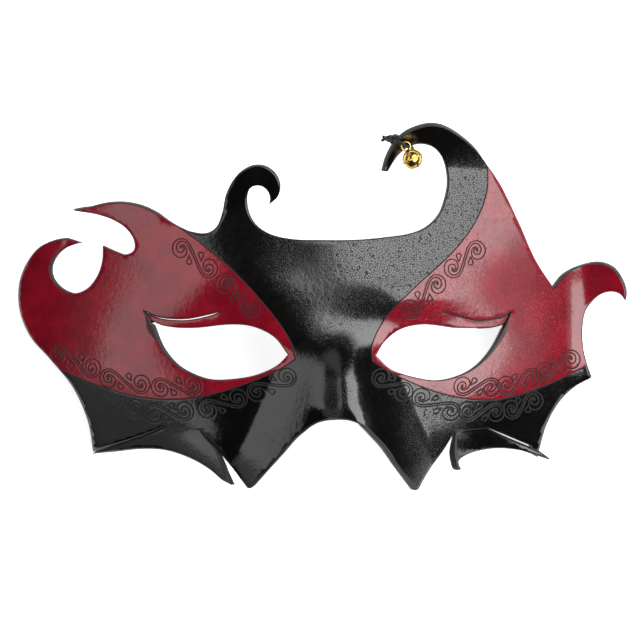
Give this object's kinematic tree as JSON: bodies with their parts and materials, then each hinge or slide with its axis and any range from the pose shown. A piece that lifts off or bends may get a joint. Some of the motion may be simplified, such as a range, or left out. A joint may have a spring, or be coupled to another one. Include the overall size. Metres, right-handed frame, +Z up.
{
  "type": "jester half mask",
  "caption": "Jester half mask formed from a sheet of leather, with curled horns, side lobes, slit eyelids and flaps, engraved scrolls and a small jingle bell.",
  "frame": {"origin": "under the middle of the bounding box, on the surface that the mask lies on", "axes": "+X to the viewer's right across the face, +Y up the forehead towards the horns, +Z up out of the face"},
  "size_m": [0.214, 0.1288, 0.047],
  "materials": {
    "leather": "dyed black and dark red, burnished satin",
    "cord": "waxed",
    "brass": "polished"
  },
  "bodies": {
    "root": {"leather_mask": "leather", "bell_cord": "cord", "jingle_bell": "brass"}
  },
  "joints": []
}
